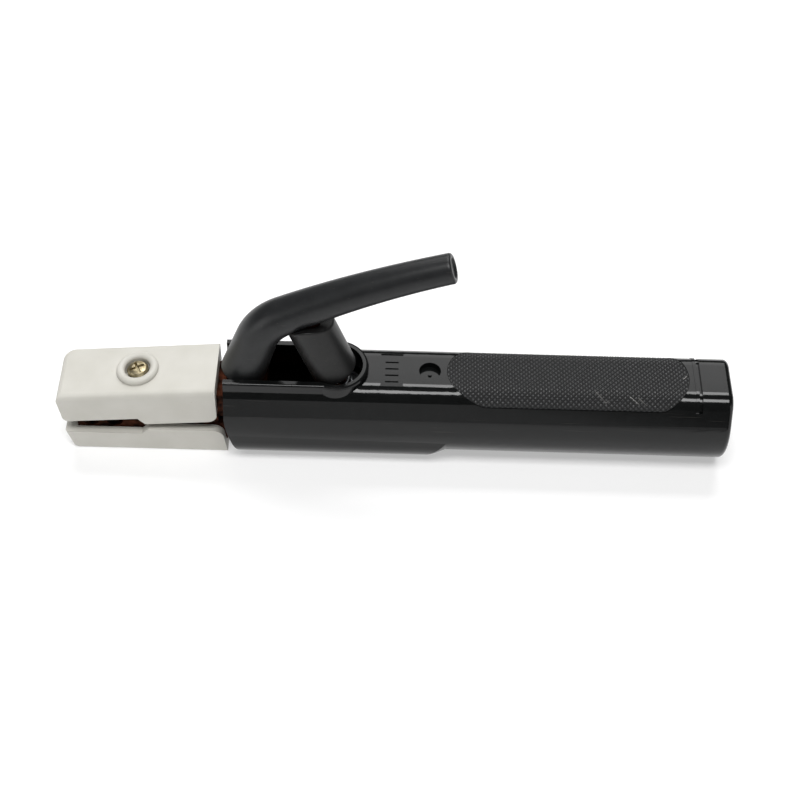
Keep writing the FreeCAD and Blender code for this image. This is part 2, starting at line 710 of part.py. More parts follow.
def lever_spring():
    """Round-wire compression spring from the seat up into the cap."""
    top, down = cap_axis()
    high = top + down * (cap_wall + spring_top_gap + spring_wire / 2)
    low = Vector(seat_x, 0, seat_top_z + spring_rest + spring_wire / 2)
    axis = high - low
    height = axis.Length - spring_first - spring_last
    helix = Part.makeHelix(height / spring_turns, height, spring_radius)
    wire = Part.Wire(helix.Edges)
    section = Part.Wire(Part.Circle(Vector(spring_radius, 0, 0), NORTH, spring_wire / 2).toShape())
    coil = wire.makePipeShell([section], True, True)
    coil.Placement = FreeCAD.Placement(low + axis.normalize() * spring_first, FreeCAD.Rotation(UP, axis))
    return coil


def spring_seat():
    """Insulating dished washer between the spring and the casting."""
    washer = tube(Vector(seat_x, 0, beam_top_z), UP, seat_thickness, seat_radius,
                  seat_pin_radius + 2 * running_gap)
    lip = tube(Vector(seat_x, 0, beam_top_z), UP, seat_thickness + seat_lip_height,
               seat_radius, seat_radius - seat_lip_width)
    return washer.fuse(lip).removeSplitter()


# ---- fasteners ------------------------------------------------------------------------------------
def pan_screw(seat, outward, length):
    """Cross-recess pan head screw whose head sits on seat and whose shank goes inward."""
    head = revolved([(0, 0), (0, cover_screw_head_radius),
                     (cover_screw_head_height * 0.55, cover_screw_head_radius),
                     (cover_screw_head_height * 0.85, cover_screw_head_radius * 0.82),
                     (cover_screw_head_height, cover_screw_head_radius * 0.5),
                     (cover_screw_head_height, 0)], seat, outward)
    shank = rod(seat - outward * length, outward, length, cover_screw_radius)
    screw = head.fuse(shank).removeSplitter()
    slot = Part.makeBox(cross_length, cross_width, cross_depth + over,
                        Vector(-cross_length / 2, -cross_width / 2, 0))
    slot.rotate(Vector(0, 0, 0), UP, cross_turn)
    cross = slot.fuse(slot.rotated(Vector(0, 0, 0), UP, 90))
    cross.Placement = FreeCAD.Placement(seat + outward * (cover_screw_head_height - cross_depth),
                                        FreeCAD.Rotation(UP, outward))
    return screw.cut(cross)


def spring_washer(seat, outward):
    """Split lock washer under a screw head."""
    ring = tube(seat, outward, lock_washer_thickness, lock_washer_radius,
                cover_screw_radius + screw_hole_play)
    gap = Part.makeBox(lock_washer_radius + over, lock_washer_gap, lock_washer_thickness + 2 * over,
                       Vector(0, -lock_washer_gap / 2, -over))
    gap.Placement = FreeCAD.Placement(seat, FreeCAD.Rotation(UP, outward))
    return ring.cut(gap)


def cable_clamp_screws():
    """Hexagon socket grub screws under the cable socket, backed out flush with its bore."""
    screws = []
    for x in clamp_screw_places():
        low_z = socket_axis_z - socket_radius + clamp_screw_sunk
        high_z = socket_axis_z - socket_bore_radius - 2 * running_gap
        screw = rod(Vector(x, 0, low_z), UP, high_z - low_z, clamp_screw_radius)
        corners = []
        for step in range(6):
            turn = math.radians(60 * step)
            corners.append(Vector(x + hexagon_radius * math.cos(turn),
                                  hexagon_radius * math.sin(turn), low_z))
        hexagon = Part.Face(Part.makePolygon(corners + corners[:1])).extrude(UP * hexagon_depth)
        screws.append(screw.cut(hexagon))
    return Part.makeCompound(screws)


def cable_liner():
    """Split copper sleeve that wraps the bared conductor inside the socket."""
    length = socket_depth - 2 * liner_setback
    start = Vector(socket_back_x - socket_depth + liner_setback, 0, socket_axis_z)
    outer = socket_bore_radius - running_gap
    sleeve = tube(start, EAST, length, outer, outer - liner_wall)
    slit = block(start.x - over, start.x + length + over, -liner_slit / 2, liner_slit / 2,
                 socket_axis_z, socket_axis_z + socket_radius)
    return sleeve.cut(slit)


def handle_lock_screw():
    low = Vector(lock_x, 0, lock_screw_low_z() + 2 * running_gap)
    return rod(low, UP, lock_screw_length, lock_screw_radius)


def lock_screw_plug():
    """Plug over the locking screw, with a small nipple in the middle."""
    seat_z = flat_top_z - lock_recess_depth - plug_thickness
    disc = rod(Vector(lock_x, 0, seat_z), UP, plug_thickness, lock_recess_radius - running_gap)
    nipple = rod(Vector(lock_x, 0, seat_z), UP, plug_thickness + nipple_height, nipple_radius)
    return disc.fuse(nipple).removeSplitter()


# ---- writing the pieces ---------------------------------------------------------------------------
def upper_screw_frame():
    lean = Vector(-math.sin(math.radians(upper_slope)), 0, math.cos(math.radians(upper_slope)))
    floor = Vector(boss_x, 0, boss_z) + lean * (boss_height - boss_bore_depth)
    return floor, lean


upper_floor, upper_lean = upper_screw_frame()
upper_seat = upper_floor + upper_lean * lock_washer_thickness
lower_floor = Vector(boss_x, 0, cover_screw_head_height + lock_washer_thickness + head_room)
lower_seat = lower_floor - UP * lock_washer_thickness

pieces = {
    "handle_grip": handle_grip(),
    "size_bars": label_bars(),
    "holder_body": holder_body(),
    "lever_arm": lever_arm(),
    "upper_jaw_cover": upper_cover(),
    "lower_jaw_cover": lower_cover(),
    "upper_cover_screw": pan_screw(upper_seat, upper_lean, cover_screw_length),
    "upper_lock_washer": spring_washer(upper_floor, upper_lean),
    "lower_cover_screw": pan_screw(lower_seat, -UP, lower_jaw_top_z - screw_end_gap - lower_seat.z),
    "lower_lock_washer": spring_washer(lower_floor, -UP),
    "lever_sleeve": lever_sleeve(),
    "pivot_pin": pivot_pin(),
    "pivot_clips": pivot_clips(),
    "spring_cap": spring_cap(),
    "lever_spring": lever_spring(),
    "spring_seat": spring_seat(),
    "cable_clamp_screws": cable_clamp_screws(),
    "cable_liner": cable_liner(),
    "handle_lock_screw": handle_lock_screw(),
    "lock_screw_plug": lock_screw_plug(),
}

os.makedirs("parts", exist_ok=True)
for name, shape in pieces.items():
    shape.exportStep("parts/" + name + ".step")
    print(name, shape.isValid(), len(shape.Solids), round(shape.Volume, 1))
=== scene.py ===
import math

import bpy
import numpy as np
from mathutils import Matrix, Vector


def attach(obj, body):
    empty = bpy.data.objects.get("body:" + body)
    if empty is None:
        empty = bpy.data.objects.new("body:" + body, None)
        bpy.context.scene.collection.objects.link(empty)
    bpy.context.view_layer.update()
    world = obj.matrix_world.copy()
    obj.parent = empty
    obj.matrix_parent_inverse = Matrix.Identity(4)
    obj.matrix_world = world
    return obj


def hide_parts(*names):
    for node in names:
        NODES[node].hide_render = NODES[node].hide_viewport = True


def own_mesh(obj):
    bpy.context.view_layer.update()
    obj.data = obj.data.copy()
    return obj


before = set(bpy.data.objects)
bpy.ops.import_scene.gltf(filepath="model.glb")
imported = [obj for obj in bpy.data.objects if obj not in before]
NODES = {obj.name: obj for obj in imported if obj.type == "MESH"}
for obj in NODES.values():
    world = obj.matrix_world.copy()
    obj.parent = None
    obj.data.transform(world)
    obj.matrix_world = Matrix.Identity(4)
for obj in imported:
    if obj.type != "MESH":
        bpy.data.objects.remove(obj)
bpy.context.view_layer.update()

MM = 0.001
RGB_FACTOR, RGB_FIRST, RGB_SECOND = 0, 6, 7
RGB_RESULT = 2
ROUND_STEPS = 96
HAIR_TURN = 0.35
HAIR_STRETCH = 0.025
RUBBED_ROUGHNESS = 0.5
TIP_ROUGHNESS = 0.24
GROOVE_CREST, TIP_CREST = 0.1, 0.7
# share of the base colour left at the groove bottoms of the knurl: dust and painted shade
GROOVE_SHADE = 0.25
TARNISH_DULLING = 1.3


# ---- colours and material nodes -----------------------------------------------------------------
def linear(hex_colour, alpha=1.0):
    """An sRGB hex colour as linear red, green, blue and alpha."""
    parts = [int(hex_colour[i:i + 2], 16) / 255 for i in (1, 3, 5)]
    return (*[p / 12.92 if p <= 0.04045 else ((p + 0.055) / 1.055) ** 2.4 for p in parts], alpha)


def add(tree, kind, inputs=(), **settings):
    """Adds one node: settings are its own properties, inputs gives each socket a value or an output."""
    made = tree.nodes.new(kind)
    for name, value in settings.items():
        setattr(made, name, value)
    for name, value in dict(inputs).items():
        if isinstance(value, bpy.types.NodeSocket):
            tree.links.new(value, made.inputs[name])
        else:
            made.inputs[name].default_value = value
    return made


def new_material(name):
    """An empty material with its tree, its surface shader and the piece's own coordinates."""
    made = bpy.data.materials.new(name)
    made.use_nodes = True
    tree = made.node_tree
    tree.nodes.clear()
    shader = add(tree, "ShaderNodeBsdfPrincipled")
    add(tree, "ShaderNodeOutputMaterial", {"Surface": shader.outputs["BSDF"]})
    place = add(tree, "ShaderNodeTexCoord").outputs["Object"]
    return made, tree, shader, place


def per_mm(size):
    """Texture scale for a pattern whose features are size millimetres apart, on metre coordinates."""
    return 1.0 / (size * MM)


def ramp(tree, factor, stops):
    """A colour ramp over factor with (place, colour) stops."""
    made = add(tree, "ShaderNodeValToRGB", {"Fac": factor})
    elements = made.color_ramp.elements
    while len(elements) < len(stops):
        elements.new(0.5)
    for element, (place, colour) in zip(elements, stops):
        element.position = place
        element.color = colour
    return made.outputs["Color"]


def glass_filled_nylon(name, dark, light, worn, gloss, sheen, grain_height):
    """Black glass-filled nylon, injection moulded against polished steel: deep black, a clear
    semi-gloss skin with a faint ripple where the fibres lie under it, a few hair scratches along
    the handle, and a dull paler tone where the wear attribute says an edge has rubbed.
    Grain_height is the skin's roughness in millimetres."""
    made, tree, shader, place = new_material(name)
    ripple = add(tree, "ShaderNodeTexNoise", {"Vector": place, "Scale": per_mm(4.0), "Detail": 2.0})
    skin_grain = add(tree, "ShaderNodeTexNoise", {"Vector": place, "Scale": per_mm(0.35), "Detail": 3.0})
    drawn = add(tree, "ShaderNodeMapping", {"Vector": place, "Rotation": (0.0, 0.0, HAIR_TURN),
                                            "Scale": (HAIR_STRETCH, 1.0, 1.0)})
    hairs = add(tree, "ShaderNodeTexNoise", {"Vector": drawn.outputs["Vector"], "Scale": per_mm(0.5),
                                             "Detail": 1.0})
    scratch = add(tree, "ShaderNodeMapRange", {"Value": hairs.outputs["Fac"], "From Min": 0.72,
                                               "From Max": 0.76, "To Min": 0.0, "To Max": 0.05})
    colour = ramp(tree, ripple.outputs["Fac"], [(0.3, linear(dark)), (0.75, linear(light))])
    rubbed = add(tree, "ShaderNodeAttribute", attribute_name="wear")
    either = add(tree, "ShaderNodeMath", {0: rubbed.outputs["Fac"], 1: scratch.outputs["Result"]},
                 operation="MAXIMUM").outputs["Value"]
    mixed = add(tree, "ShaderNodeMix", {RGB_FACTOR: either, RGB_FIRST: colour, RGB_SECOND: linear(worn)},
                data_type="RGBA")
    shine = add(tree, "ShaderNodeMapRange", {"Value": either, "From Min": 0.0, "From Max": 1.0,
                                             "To Min": gloss, "To Max": RUBBED_ROUGHNESS})
    bump = add(tree, "ShaderNodeBump", {"Height": skin_grain.outputs["Fac"], "Distance": grain_height * MM,
                                        "Strength": 0.5})
    tree.links.new(mixed.outputs[RGB_RESULT], shader.inputs["Base Color"])
    tree.links.new(shine.outputs["Result"], shader.inputs["Roughness"])
    tree.links.new(bump.outputs["Normal"], shader.inputs["Normal"])
    shader.inputs["Specular IOR Level"].default_value = sheen
    return made


def knurled_nylon():
    """The same nylon on the thumb pad: its tooth tips shine and the grooves are matt, and their colour is
    darkened, partly dust and partly painted shade for the shade in the grooves. The crest attribute tells
    them apart, 0 in a groove and 1 on a tip."""
    made = glass_filled_nylon("black_nylon_knurl", "#111213", "#17181a", "#b9b7b4", gloss=TIP_ROUGHNESS,
                              sheen=0.62, grain_height=0.01)
    tree = made.node_tree
    shader = tree.nodes["Principled BSDF"]
    plain = shader.inputs["Base Color"].links[0].from_socket
    crest = add(tree, "ShaderNodeAttribute", attribute_name="crest").outputs["Fac"]
    shine = add(tree, "ShaderNodeMapRange", {"Value": crest, "From Min": GROOVE_CREST, "From Max": TIP_CREST,
                                             "To Min": 1.0, "To Max": TIP_ROUGHNESS})
    shade = add(tree, "ShaderNodeMapRange", {"Value": crest, "From Min": GROOVE_CREST, "From Max": TIP_CREST,
                                             "To Min": GROOVE_SHADE, "To Max": 1.0})
    # dust and painted shade: the base colour is darkened towards the groove bottoms, down to GROOVE_SHADE
    dust_and_painted_shade = add(tree, "ShaderNodeVectorMath", {0: plain, "Scale": shade.outputs["Result"]}, operation="SCALE")
    tree.links.new(dust_and_painted_shade.outputs["Vector"], shader.inputs["Base Color"])
    tree.links.new(shine.outputs["Result"], shader.inputs["Roughness"])
    return made


def polyester_moulding():
    """Cream glass-filled polyester, compression moulded: a dull eggshell skin, warm white, with a slow
    drift of tone where the filler lies deeper and a very few tan specks."""
    made, tree, shader, place = new_material("cream_polyester_moulding")
    drift = add(tree, "ShaderNodeTexNoise", {"Vector": place, "Scale": per_mm(12.0), "Detail": 3.0})
    speck = add(tree, "ShaderNodeTexNoise", {"Vector": place, "Scale": per_mm(1.1), "Detail": 1.0})
    body = ramp(tree, drift.outputs["Fac"], [(0.35, linear("#bbb9b1")), (0.7, linear("#c2c0b9"))])
    dirt = ramp(tree, speck.outputs["Fac"], [(0.79, (0, 0, 0, 1)), (0.84, (0.5, 0.5, 0.5, 1))])
    colour = add(tree, "ShaderNodeMix", {RGB_FACTOR: dirt, RGB_FIRST: body, RGB_SECOND: linear("#a39a83")},
                 data_type="RGBA")
    eggshell = add(tree, "ShaderNodeTexNoise", {"Vector": place, "Scale": per_mm(0.6), "Detail": 4.0})
    bump = add(tree, "ShaderNodeBump", {"Height": eggshell.outputs["Fac"], "Distance": 0.02 * MM,
                                        "Strength": 0.5})
    tree.links.new(colour.outputs[RGB_RESULT], shader.inputs["Base Color"])
    tree.links.new(bump.outputs["Normal"], shader.inputs["Normal"])
    shader.inputs["Roughness"].default_value = 0.45
    shader.inputs["Specular IOR Level"].default_value = 0.35
    return made


def worn_metal(name, light, dark, roughness, spacing):
    """Bare or plated metal after handling: a soft sheen in the metal's own colour, with darker and
    duller patches, spacing millimetres apart, where it is thinly plated or has tarnished."""
    made, tree, shader, place = new_material(name)
    cloud = add(tree, "ShaderNodeTexNoise", {"Vector": place, "Scale": per_mm(spacing), "Detail": 4.0})
    colour = ramp(tree, cloud.outputs["Fac"], [(0.35, linear(dark)), (0.65, linear(light))])
    gloss = add(tree, "ShaderNodeMapRange", {"Value": cloud.outputs["Fac"], "From Min": 0.3,
                                             "From Max": 0.7, "To Min": roughness * TARNISH_DULLING,
                                             "To Max": roughness})
    tree.links.new(colour, shader.inputs["Base Color"])
    tree.links.new(gloss.outputs["Result"], shader.inputs["Roughness"])
    shader.inputs["Metallic"].default_value = 1.0
    return made


def paint(material, *names):
    """Gives CAD nodes a material in every slot they have."""
    for name in names:
        for slot in NODES[name].material_slots:
            slot.material = material


HANDLE = glass_filled_nylon("black_nylon_handle", "#0b0c0c", "#101111", "#8f8a80", gloss=0.11, sheen=0.32,
                            grain_height=0.004)
SLEEVE = glass_filled_nylon("black_nylon_sleeve", "#1a1b1c", "#202122", "#8f8a80", gloss=0.36, sheen=0.30,
                            grain_height=0.02)
CAP = glass_filled_nylon("black_nylon_cap", "#151515", "#1b1b1b", "#9a8a62", gloss=0.40, sheen=0.28,
                         grain_height=0.02)
PAD = knurled_nylon()
CREAM = polyester_moulding()
ZINC = worn_metal("yellow_zinc_screws", "#b3a88c", "#857a5e", roughness=0.34, spacing=1.5)
STEEL = worn_metal("plain_steel", "#8f9193", "#5d5f61", roughness=0.35, spacing=2.0)
# painted shade: the cast copper's colours are kept near black, much darker than the metal, for copper seen in
# shaded gaps between parts
COPPER = worn_metal("cast_copper_alloy", "#4a281b", "#1a0d08", roughness=0.55, spacing=2.5)
SHEET = worn_metal("rolled_copper_sheet", "#b8694a", "#8a4a35", roughness=0.30, spacing=4.0)

paint(HANDLE, "handle_grip", "size_bars", "lock_screw_plug")
paint(CREAM, "upper_jaw_cover", "lower_jaw_cover")
paint(ZINC, "upper_cover_screw", "lower_cover_screw", "upper_lock_washer", "lower_lock_washer")
paint(STEEL, "pivot_pin", "pivot_clips", "spring_seat", "cable_clamp_screws", "handle_lock_screw")
paint(COPPER, "holder_body", "lever_arm")
paint(SHEET, "cable_liner")


# ---- surfaces from arrays -------------------------------------------------------------------------
def put(name, data):
    """Puts a mesh, a light or a camera into the scene under a name."""
    made = bpy.data.objects.new(name, data)
    bpy.context.scene.collection.objects.link(made)
    return made


def skin(name, points, material, body, closed_across=True, capped=True, **shades):
    """Makes a piece from a grid of points in millimetres: rows along it, columns across or around it.

    Quads join each row to the next. Closed_across joins the last column to the first, and capped closes
    the first and last rows. Shades are attributes for its material, one value a point."""
    rows, columns = points.shape[:2]
    index = np.arange(rows * columns).reshape(rows, columns)
    if closed_across:
        index = np.hstack([index, index[:, :1]])
    corners = [index[:-1, :-1], index[:-1, 1:], index[1:, 1:], index[1:, :-1]]
    faces = np.stack(corners, axis=-1).reshape(-1, 4).tolist()
    if capped:
        faces += [index[0, :columns][::-1].tolist(), index[-1, :columns].tolist()]
    mesh = bpy.data.meshes.new(name)
    mesh.from_pydata((points.reshape(-1, 3) * MM).tolist(), [], faces)
    for shade, values in shades.items():
        layer = mesh.attributes.new(shade, "FLOAT", "POINT")
        layer.data.foreach_set("value", values.ravel().astype(np.float32))
    mesh.materials.append(material)
    mesh.shade_smooth()
    piece = put(name, mesh)
    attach(piece, body)
    return piece


def turned(outline, foot, axis, steps):
    """Points of a turned surface: each (distance, radius) of the outline swept once round the axis."""
    distance, radius = np.array(outline, float).T
    axis = np.array(axis) / np.linalg.norm(axis)
    first = np.array([axis[2], 0.0, -axis[0]])
    second = np.cross(axis, first)
    turn = np.linspace(0, 2 * math.pi, steps, endpoint=False)
    ring = np.cos(turn)[:, None] * first + np.sin(turn)[:, None] * second
    return np.array(foot) + distance[:, None, None] * axis + radius[:, None, None] * ring


def quarter(centre, radius, start, end, steps=7):
    """Points (distance, radius) of an arc in an outline, angles in degrees."""
    turn = np.radians(np.linspace(start, end, steps))
    return [(centre[0] + radius * math.cos(t), centre[1] + radius * math.sin(t)) for t in turn]


# ---- thumb pad ------------------------------------------------------------------------------------
FLAT_TOP_Z = 36.0
FLAT_HALF_WIDTH = 6.5
SHOULDER_RADIUS = 7.0
PAD_DEPTH = 0.4
PAD_FRONT_X, PAD_BACK_X = 19.3, 109.2
PAD_HALF_WIDTH = 13.2
PAD_FRONT_LENGTH, PAD_BACK_LENGTH = 15.0, 11.0
PAD_REACH = 15.0
PAD_EDGE_SLOPE = 1.6
PAD_FLOOR_GAP = 0.03
PAD_SUNK = 0.3
KNURL_PERIOD = 2.0
KNURL_STEPS = 10
KNURL_HEIGHT = 0.46
KNURL_FLAT_TIP = 0.85
SCRATCH_HALF_WIDTH = 0.16
SCRATCH_WEAR = 0.75
SCRATCHES = [(73.9, -7.7, 77.8, -12.0), (86.4, -9.2, 90.0, -12.2), (89.6, -9.6, 92.7, -12.6),
             (77.8, -12.0, 79.0, -10.9), (107.0, -0.4, 108.6, 1.3)]


def thumb_pad():
    """Knurled skin of the thumb pad: two sets of grooves, crossing at right angles, leave pyramids.

    Across, the surface follows the handle: a flat, then round shoulders. Its height over the pad's floor
    grows evenly from the nearer groove up to the flattened tips, and near the pad's rounded outline it
    slopes down into the handle. Scratches are straight lines from (x, s) to (x, s), where s runs across."""
    step = KNURL_PERIOD / KNURL_STEPS
    along = np.arange(PAD_FRONT_X - 2 * step, PAD_BACK_X + 3 * step, step)
    half_steps = int(PAD_REACH / step)
    across = np.arange(-half_steps, half_steps + 1) * step
    x, s = np.meshgrid(along, across, indexing="ij")
    turn = np.maximum(np.abs(s) - FLAT_HALF_WIDTH, 0) / SHOULDER_RADIUS
    flat = np.clip(s, -FLAT_HALF_WIDTH, FLAT_HALF_WIDTH)
    y_there = flat + np.sign(s) * SHOULDER_RADIUS * np.sin(turn)

    front = PAD_FRONT_X + PAD_FRONT_LENGTH
    back = PAD_BACK_X - PAD_BACK_LENGTH
    end = np.maximum((front - x) / PAD_FRONT_LENGTH, (x - back) / PAD_BACK_LENGTH)
    inside = PAD_HALF_WIDTH * (1 - np.hypot(np.maximum(end, 0), y_there / PAD_HALF_WIDTH))

    start = along[0]
    groove_one = np.abs(((x - start + s) / KNURL_PERIOD) % 1.0 - 0.5) * 2
    groove_two = np.abs(((x - start - s) / KNURL_PERIOD) % 1.0 - 0.5) * 2
    tooth = np.minimum(groove_one, groove_two)
    teeth = PAD_FLOOR_GAP + KNURL_HEIGHT * np.minimum(tooth, KNURL_FLAT_TIP)
    height = np.maximum(np.minimum(teeth, inside * PAD_EDGE_SLOPE), -PAD_SUNK)
    radius = SHOULDER_RADIUS + height - PAD_DEPTH
    y = flat + np.sign(s) * radius * np.sin(turn)
    z = FLAT_TOP_Z - SHOULDER_RADIUS + radius * np.cos(turn)

    wear = np.zeros_like(x)
    for x0, s0, x1, s1 in SCRATCHES:
        off_line = np.abs(s - s0 - (s1 - s0) / (x1 - x0) * (x - x0))
        wear = np.maximum(wear, (off_line < SCRATCH_HALF_WIDTH) * (x > x0) * (x < x1))
    piece = skin("thumb_pad_knurl", np.stack([x, y, z], axis=-1), PAD, "holder", closed_across=False,
                 capped=False, wear=wear * SCRATCH_WEAR, crest=tooth)


thumb_pad()


# ---- lever sleeve ---------------------------------------------------------------------------------
LEG_START = (-55.9, 35.2)
LEG_ANGLE, KNEE_END_ANGLE, ARM_END_ANGLE = 72.0, 30.0, 18.5
LEG_LENGTH, ARM_LENGTH = 17.5, 65.9
KNEE_RADIUS = 21.5
KNEE_LENGTH = KNEE_RADIUS * math.radians(LEG_ANGLE - KNEE_END_ANGLE)
LEVER_LENGTH = LEG_LENGTH + KNEE_LENGTH + ARM_LENGTH
SLEEVE_WALL = 1.8
SLEEVE_SIDE = 7.9
SLEEVE_ROWS = 110
SLEEVE_MOUTH = 6.0
SKIRT = 1.4
RIM_ROUND = 0.6
RIM_CHAMFER = 0.4
TIP_ROUND = 1.0
DISH_DEPTH = 0.8
TIP_FACE = [(0.0, 1.6), (0.15, 1.85), (0.7, 2.1), (DISH_DEPTH, 2.5), (DISH_DEPTH, 4.5), (DISH_DEPTH, 5.4)]


def lever_line(distance):
    """Middle line of the lever in the side view: a straight leg, a tight knee, a slightly bent arm.

    Gives x, z and the direction in radians for an array of distances from the leg's lower end."""
    run = np.minimum(distance, LEG_LENGTH)
    x = LEG_START[0] + run * math.cos(math.radians(LEG_ANGLE))
    z = LEG_START[1] + run * math.sin(math.radians(LEG_ANGLE))
    angle = np.full_like(distance, math.radians(LEG_ANGLE))
    left = distance - run
    arm_radius = ARM_LENGTH / math.radians(KNEE_END_ANGLE - ARM_END_ANGLE)
    for radius, length in ((KNEE_RADIUS, KNEE_LENGTH), (arm_radius, ARM_LENGTH)):
        run = np.clip(left, 0, length)
        turned_to = angle - run / radius
        x = x + radius * (np.sin(angle) - np.sin(turned_to))
        z = z + radius * (np.cos(turned_to) - np.cos(angle))
        angle = turned_to
        left = left - run
    return x, z, angle


def lever_angle(distance):
    """Direction of the lever's line in radians, at one distance."""
    return float(lever_line(np.array([float(distance)]))[2][0])


def lever_half(distance):
    """Half thickness of the sleeve: 5.5 mm at the tip, growing by a power curve to 8.4 mm at the leg."""
    return 5.5 + 2.9 * np.clip(1 - distance / LEVER_LENGTH, 0, 1) ** 1.35


def lever_sleeve():
    """Moulded sleeve of the lever: an oval ring swept along the lever's line, with a round-edged lower
    rim on a short skirt, and a tip whose round edge runs into a face with a shallow dish. Its outline is
    a list of (distance along the line, inset from the outer surface)."""
    outline = [(SLEEVE_MOUTH, SLEEVE_WALL), (RIM_CHAMFER - SKIRT, SLEEVE_WALL),
               (-SKIRT, SLEEVE_WALL - RIM_CHAMFER), (-SKIRT, RIM_ROUND)]
    outline += quarter((RIM_ROUND - SKIRT, RIM_ROUND), RIM_ROUND, 202.5, 270, 4)
    outline += [(d, 0.0) for d in np.linspace(2 * RIM_ROUND - SKIRT, LEVER_LENGTH - 1.4, SLEEVE_ROWS)]
    outline += quarter((LEVER_LENGTH - TIP_ROUND, TIP_ROUND), TIP_ROUND, -90, 0)
    outline += [(LEVER_LENGTH - depth, inset) for depth, inset in TIP_FACE]
    distance, inset = np.array(outline, float).T
    x, z, angle = lever_line(distance)
    half = lever_half(distance)
    turn = np.linspace(0, 2 * math.pi, ROUND_STEPS, endpoint=False)
    rise = (half - inset)[:, None] * np.cos(turn)
    side = (np.minimum(half, SLEEVE_SIDE) - inset)[:, None] * np.sin(turn)
    points = np.stack([x[:, None] - np.sin(angle)[:, None] * rise, side,
                       z[:, None] + np.cos(angle)[:, None] * rise], axis=-1)
    piece = skin("lever_sleeve_moulding", points, SLEEVE, "lever")
    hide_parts("lever_sleeve")


lever_sleeve()


# ---- spring and its cap -----------------------------------------------------------------------------
CAP_RADIUS = 8.7
CAP_WALL = 1.4
CAP_LENGTH = 24.8
CAP_LEAN = math.radians(19.5)
CAP_PLACE = LEG_LENGTH + KNEE_LENGTH + 8.2
CAP_GAP = 0.45
CAP_TOP_ROUND = 0.8
CAP_LIP_ROUND = 1.0
CAP_LIP_WEAR = 0.55
CAP_INNER = CAP_RADIUS - CAP_WALL
CAP_SLANT_LENGTH = 8.0
CAP_SADDLE = 0.8
CAP_SADDLE_REACH = 0.95
CAP_DOWN = np.array([math.sin(CAP_LEAN), 0.0, -math.cos(CAP_LEAN)])
POLE = 0.01
SEAT = np.array([-20.4, 0.0, 24.9])
SPRING_RADIUS = 5.0
SPRING_WIRE = 1.5
SPRING_TURNS = 8
SPRING_END_TURNS = 1.5
SPRING_FLAT_SHARE = 0.08
SPRING_TOP_GAP = 1.4
SPRING_SEAT_GAP = 0.2
SPRING_ROWS = 480


def cap_top():
    """Top centre of the cap: under the arm, clear of the sleeve on its higher side."""
    x, z, angle = (float(v[0]) for v in lever_line(np.array([CAP_PLACE])))
    drop = CAP_GAP + CAP_RADIUS * math.tan(angle - CAP_LEAN)
    return np.array([x, 0.0, z]) + CAP_DOWN * (float(lever_half(CAP_PLACE)) + drop)


def spring_cap():
    """Turned cap over the spring: a top slanted like the arm over it, a straight side, and a well
    rounded lip whose edge has rubbed. The slant lifts each top point by its distance to one side, and
    a saddle lifts the front and the back, as a circle falls away from its tangent."""
    outline = [(0, POLE), (0, CAP_RADIUS - CAP_TOP_ROUND)]
    outline += quarter((CAP_TOP_ROUND, CAP_RADIUS - CAP_TOP_ROUND), CAP_TOP_ROUND, 150, 90, 3)
    outline += [(d, CAP_RADIUS) for d in np.linspace(1.2, CAP_LENGTH - 1.3, 24)]
    lip_start = len(outline)
    outline += quarter((CAP_LENGTH - CAP_LIP_ROUND, CAP_RADIUS - CAP_LIP_ROUND), CAP_LIP_ROUND, 80, 0)
    outline += [(CAP_LENGTH - 0.05, CAP_INNER + 0.1), (CAP_LENGTH - 0.4, CAP_INNER)]
    lip_end = len(outline)
    outline += [(d, CAP_INNER) for d in np.linspace(CAP_LENGTH - 1.0, CAP_WALL + 0.3, 12)]
    outline += [(CAP_WALL, CAP_INNER - 0.3), (CAP_WALL, POLE)]
    points = turned(outline, cap_top(), CAP_DOWN, ROUND_STEPS)
    aside = points - cap_top()
    lateral = aside @ np.array([CAP_DOWN[2], 0.0, -CAP_DOWN[0]])
    top_share = np.clip(1 - (aside @ CAP_DOWN) / CAP_SLANT_LENGTH, 0, 1)
    top_share[lip_start:] = 0
    slant = math.tan(lever_angle(CAP_PLACE) - CAP_LEAN)
    across = np.minimum(np.abs(aside[..., 1]) / CAP_RADIUS, CAP_SADDLE_REACH)
    saddle = float(lever_half(CAP_PLACE)) * (1 - np.sqrt(1 - across ** 2))
    lift = (CAP_RADIUS + lateral) * slant + CAP_SADDLE * saddle
    points = points - (lift * top_share)[..., None] * CAP_DOWN
    wear = np.zeros(points.shape[:2])
    wear[lip_start + 3:lip_end] = CAP_LIP_WEAR
    piece = skin("spring_cap_moulding", points[:, ::-1], CAP, "lever", wear=wear)
    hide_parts("spring_cap")


def lever_spring():
    """Round-wire compression spring: a helix whose first and last turns lie flat on its ends."""
    high = cap_top() + CAP_DOWN * (CAP_WALL + SPRING_TOP_GAP + SPRING_WIRE / 2)
    low = SEAT + np.array([0.0, 0.0, SPRING_SEAT_GAP + SPRING_WIRE / 2])
    axis = high - low
    height = np.linalg.norm(axis)
    axis = axis / height
    turn = np.linspace(0, 2 * math.pi * (SPRING_TURNS + SPRING_END_TURNS), SPRING_ROWS)
    share = (turn / turn[-1] - SPRING_FLAT_SHARE) / (1 - 2 * SPRING_FLAT_SHARE)
    rise = np.clip(share, 0, 1) * height
    first = np.array([axis[2], 0.0, -axis[0]])
    second = np.cross(axis, first)
    outward = np.cos(turn)[:, None] * first + np.sin(turn)[:, None] * second
    line = low + rise[:, None] * axis + SPRING_RADIUS * outward
    ahead = np.gradient(line, axis=0)
    ahead /= np.linalg.norm(ahead, axis=1)[:, None]
    up = np.cross(ahead, outward)
    round_wire = np.linspace(0, 2 * math.pi, 12, endpoint=False)
    section = (np.cos(round_wire)[None, :, None] * outward[:, None]
               + np.sin(round_wire)[None, :, None] * up[:, None])
    piece = skin("lever_spring_coil", line[:, None] + section * SPRING_WIRE / 2, STEEL, "holder")
    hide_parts("lever_spring")

    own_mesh(piece)


spring_cap()
lever_spring()


